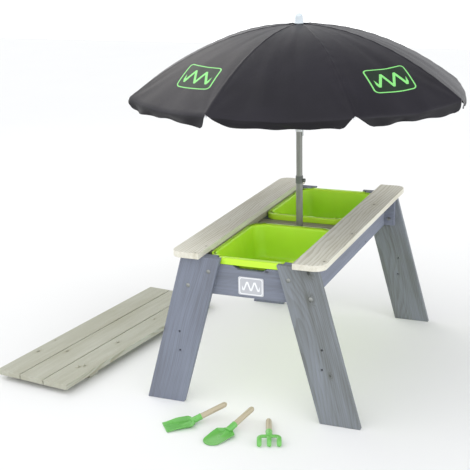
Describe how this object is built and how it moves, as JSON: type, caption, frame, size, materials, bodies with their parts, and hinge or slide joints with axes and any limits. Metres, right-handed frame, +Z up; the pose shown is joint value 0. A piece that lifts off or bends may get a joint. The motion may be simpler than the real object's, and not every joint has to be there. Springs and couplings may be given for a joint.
{
  "type": "sand and water table",
  "caption": "Timber sand and water table for children with lift-out tubs, a lid, a folding parasol and hand tools.",
  "frame": {"origin": "on the floor, under the centre of the parasol pole", "axes": "+X across the table to the right, +Y along the table away from the badge end, +Z up"},
  "size_m": [1.4082, 1.2443, 1.157],
  "materials": {
    "stained_wood": "blue-grey stain, matt",
    "side_wood": "weathered pine, matt",
    "raw_wood": "impregnated pine, matt",
    "tub_plastic": "lime green, satin",
    "zinc_steel": "zinc plated",
    "badge_metal": "satin",
    "pole_paint": "grey, satin",
    "dark_plastic": "grey, moulded",
    "white_plastic": "white, moulded",
    "rib_steel": "white, satin",
    "canopy_cloth": "charcoal polyester, plain weave",
    "tool_green": "green, glossy",
    "handle_wood": "turned, clear lacquer"
  },
  "bodies": {
    "table": {"front_left_leg": "stained_wood", "front_right_leg": "stained_wood", "back_left_leg": "stained_wood", "back_right_leg": "stained_wood", "left_side_board": "side_wood", "right_side_board": "side_wood", "front_apron": "stained_wood", "back_apron": "stained_wood", "left_rail": "stained_wood", "right_rail": "stained_wood", "centre_board": "raw_wood", "pole_board": "raw_wood", "cleats": "raw_wood", "badge": "badge_metal", "leg_bolts": "zinc_steel", "leg_nuts": "zinc_steel", "frame_screws": "zinc_steel"},
    "front_tub": {"front_tub": "tub_plastic"},
    "back_tub": {"back_tub": "tub_plastic"},
    "lid": {"lid_boards": "raw_wood", "lid_battens": "raw_wood", "lid_screws": "zinc_steel"},
    "lower_pole": {"lower_pole": "pole_paint", "clamp_collar": "dark_plastic"},
    "clamp_knob": {"clamp_knob": "dark_plastic"},
    "upper_pole": {"upper_pole": "pole_paint", "crown_hub": "white_plastic", "finial": "white_plastic"},
    "runner": {"runner": "white_plastic"},
    "runner_latch": {"runner_latch": "white_plastic"},
    "rib_1": {"rib_1": "rib_steel", "canopy_1": "canopy_cloth"},
    "stretcher_1": {"stretcher_1": "rib_steel"},
    "rib_2": {"rib_2": "rib_steel", "canopy_2": "canopy_cloth"},
    "stretcher_2": {"stretcher_2": "rib_steel"},
    "rib_3": {"rib_3": "rib_steel", "canopy_3": "canopy_cloth"},
    "stretcher_3": {"stretcher_3": "rib_steel"},
    "rib_4": {"rib_4": "rib_steel", "canopy_4": "canopy_cloth"},
    "stretcher_4": {"stretcher_4": "rib_steel"},
    "rib_5": {"rib_5": "rib_steel", "canopy_5": "canopy_cloth"},
    "stretcher_5": {"stretcher_5": "rib_steel"},
    "rib_6": {"rib_6": "rib_steel", "canopy_6": "canopy_cloth"},
    "stretcher_6": {"stretcher_6": "rib_steel"},
    "rib_7": {"rib_7": "rib_steel", "canopy_7": "canopy_cloth"},
    "stretcher_7": {"stretcher_7": "rib_steel"},
    "rib_8": {"rib_8": "rib_steel", "canopy_8": "canopy_cloth"},
    "stretcher_8": {"stretcher_8": "rib_steel"},
    "shovel": {"shovel_blade": "tool_green", "shovel_handle": "handle_wood"},
    "trowel": {"trowel_blade": "tool_green", "trowel_handle": "handle_wood"},
    "rake": {"rake_head": "tool_green", "rake_handle": "handle_wood"}
  },
  "joints": [
    {"name": "front_tub_lift", "type": "slide", "parent": "table", "child": "front_tub", "axis": [0, 0, 1], "range_m": [0, 0.125]},
    {"name": "back_tub_lift", "type": "slide", "parent": "table", "child": "back_tub", "axis": [0, 0, 1], "range_m": [0, 0.125]},
    {"name": "lid_lift", "type": "slide", "parent": "table", "child": "lid", "axis": [0, 0, 1], "range_m": [0, 0.3]},
    {"name": "pole_swivel", "type": "hinge", "parent": "table", "child": "lower_pole", "pos_m": [0, 0, 0.5], "axis": [0, 0, 1], "continuous": true},
    {"name": "clamp_turn", "type": "hinge", "parent": "lower_pole", "child": "clamp_knob", "pos_m": [0.02, 0, 0.62], "axis": [1, 0, 0], "range_deg": [0, 360]},
    {"name": "height_slide", "type": "slide", "parent": "lower_pole", "child": "upper_pole", "axis": [0, 0, 1], "range_m": [0, 0.12]},
    {"name": "runner_slide", "type": "slide", "parent": "upper_pole", "child": "runner", "axis": [0, 0, -1], "range_m": [0, 0.115]},
    {"name": "latch_press", "type": "slide", "parent": "runner", "child": "runner_latch", "axis": [-1, 0, 0], "range_m": [0, 0.0012], "stiffness_N_per_m": 400},
    {"name": "rib_1_fold", "type": "hinge", "parent": "upper_pole", "child": "rib_1", "pos_m": [-0.01311, -0.00918, 1.115], "axis": [0.5736, -0.8192, 0], "range_deg": [0, 65.5], "deforming": ["canopy_1"]},
    {"name": "rib_2_fold", "type": "hinge", "parent": "upper_pole", "child": "rib_2", "pos_m": [-0.00278, -0.01576, 1.115], "axis": [0.9848, -0.1736, 0], "range_deg": [0, 65.5], "deforming": ["canopy_2"]},
    {"name": "rib_3_fold", "type": "hinge", "parent": "upper_pole", "child": "rib_3", "pos_m": [0.00918, -0.01311, 1.115], "axis": [0.8192, 0.5736, 0], "range_deg": [0, 65.5], "deforming": ["canopy_3"]},
    {"name": "rib_4_fold", "type": "hinge", "parent": "upper_pole", "child": "rib_4", "pos_m": [0.01576, -0.00278, 1.115], "axis": [0.1736, 0.9848, 0], "range_deg": [0, 65.5], "deforming": ["canopy_4"]},
    {"name": "rib_5_fold", "type": "hinge", "parent": "upper_pole", "child": "rib_5", "pos_m": [0.01311, 0.00918, 1.115], "axis": [-0.5736, 0.8192, 0], "range_deg": [0, 65.5], "deforming": ["canopy_5"]},
    {"name": "rib_6_fold", "type": "hinge", "parent": "upper_pole", "child": "rib_6", "pos_m": [0.00278, 0.01576, 1.115], "axis": [-0.9848, 0.1736, 0], "range_deg": [0, 65.5], "deforming": ["canopy_6"]},
    {"name": "rib_7_fold", "type": "hinge", "parent": "upper_pole", "child": "rib_7", "pos_m": [-0.00918, 0.01311, 1.115], "axis": [-0.8192, -0.5736, 0], "range_deg": [0, 65.5], "deforming": ["canopy_7"]},
    {"name": "rib_8_fold", "type": "hinge", "parent": "upper_pole", "child": "rib_8", "pos_m": [-0.01576, 0.00278, 1.115], "axis": [-0.1736, -0.9848, 0], "range_deg": [0, 65.5], "deforming": ["canopy_8"]},
    {"name": "stretcher_1_turn", "type": "hinge", "parent": "runner", "child": "stretcher_1", "pos_m": [-0.01474, -0.01032, 0.842], "axis": [0.5736, -0.8192, 0], "range_deg": [-17.8, 0]},
    {"name": "stretcher_2_turn", "type": "hinge", "parent": "runner", "child": "stretcher_2", "pos_m": [-0.00313, -0.01773, 0.842], "axis": [0.9848, -0.1736, 0], "range_deg": [-17.8, 0]},
    {"name": "stretcher_3_turn", "type": "hinge", "parent": "runner", "child": "stretcher_3", "pos_m": [0.01032, -0.01474, 0.842], "axis": [0.8192, 0.5736, 0], "range_deg": [-17.8, 0]},
    {"name": "stretcher_4_turn", "type": "hinge", "parent": "runner", "child": "stretcher_4", "pos_m": [0.01773, -0.00313, 0.842], "axis": [0.1736, 0.9848, 0], "range_deg": [-17.8, 0]},
    {"name": "stretcher_5_turn", "type": "hinge", "parent": "runner", "child": "stretcher_5", "pos_m": [0.01474, 0.01032, 0.842], "axis": [-0.5736, 0.8192, 0], "range_deg": [-17.8, 0]},
    {"name": "stretcher_6_turn", "type": "hinge", "parent": "runner", "child": "stretcher_6", "pos_m": [0.00313, 0.01773, 0.842], "axis": [-0.9848, 0.1736, 0], "range_deg": [-17.8, 0]},
    {"name": "stretcher_7_turn", "type": "hinge", "parent": "runner", "child": "stretcher_7", "pos_m": [-0.01032, 0.01474, 0.842], "axis": [-0.8192, -0.5736, 0], "range_deg": [-17.8, 0]},
    {"name": "stretcher_8_turn", "type": "hinge", "parent": "runner", "child": "stretcher_8", "pos_m": [-0.01773, 0.00313, 0.842], "axis": [-0.1736, -0.9848, 0], "range_deg": [-17.8, 0]},
    {"name": "shovel_lift", "type": "slide", "parent": "table", "child": "shovel", "axis": [0, 0, 1], "range_m": [0, 0.2]},
    {"name": "trowel_lift", "type": "slide", "parent": "table", "child": "trowel", "axis": [0, 0, 1], "range_m": [0, 0.2]},
    {"name": "rake_lift", "type": "slide", "parent": "table", "child": "rake", "axis": [0, 0, 1], "range_m": [0, 0.2]}
  ],
  "couplings": [
    {"joint": "rib_1_fold", "follows": "runner_slide", "rad_per_m": 9.8649},
    {"joint": "rib_2_fold", "follows": "runner_slide", "rad_per_m": 9.8649},
    {"joint": "rib_3_fold", "follows": "runner_slide", "rad_per_m": 9.8649},
    {"joint": "rib_4_fold", "follows": "runner_slide", "rad_per_m": 9.8649},
    {"joint": "rib_5_fold", "follows": "runner_slide", "rad_per_m": 9.8649},
    {"joint": "rib_6_fold", "follows": "runner_slide", "rad_per_m": 9.8649},
    {"joint": "rib_7_fold", "follows": "runner_slide", "rad_per_m": 9.8649},
    {"joint": "rib_8_fold", "follows": "runner_slide", "rad_per_m": 9.8649},
    {"joint": "stretcher_1_turn", "follows": "runner_slide", "rad_per_m": -2.6484},
    {"joint": "stretcher_2_turn", "follows": "runner_slide", "rad_per_m": -2.6484},
    {"joint": "stretcher_3_turn", "follows": "runner_slide", "rad_per_m": -2.6484},
    {"joint": "stretcher_4_turn", "follows": "runner_slide", "rad_per_m": -2.6484},
    {"joint": "stretcher_5_turn", "follows": "runner_slide", "rad_per_m": -2.6484},
    {"joint": "stretcher_6_turn", "follows": "runner_slide", "rad_per_m": -2.6484},
    {"joint": "stretcher_7_turn", "follows": "runner_slide", "rad_per_m": -2.6484},
    {"joint": "stretcher_8_turn", "follows": "runner_slide", "rad_per_m": -2.6484}
  ]
}
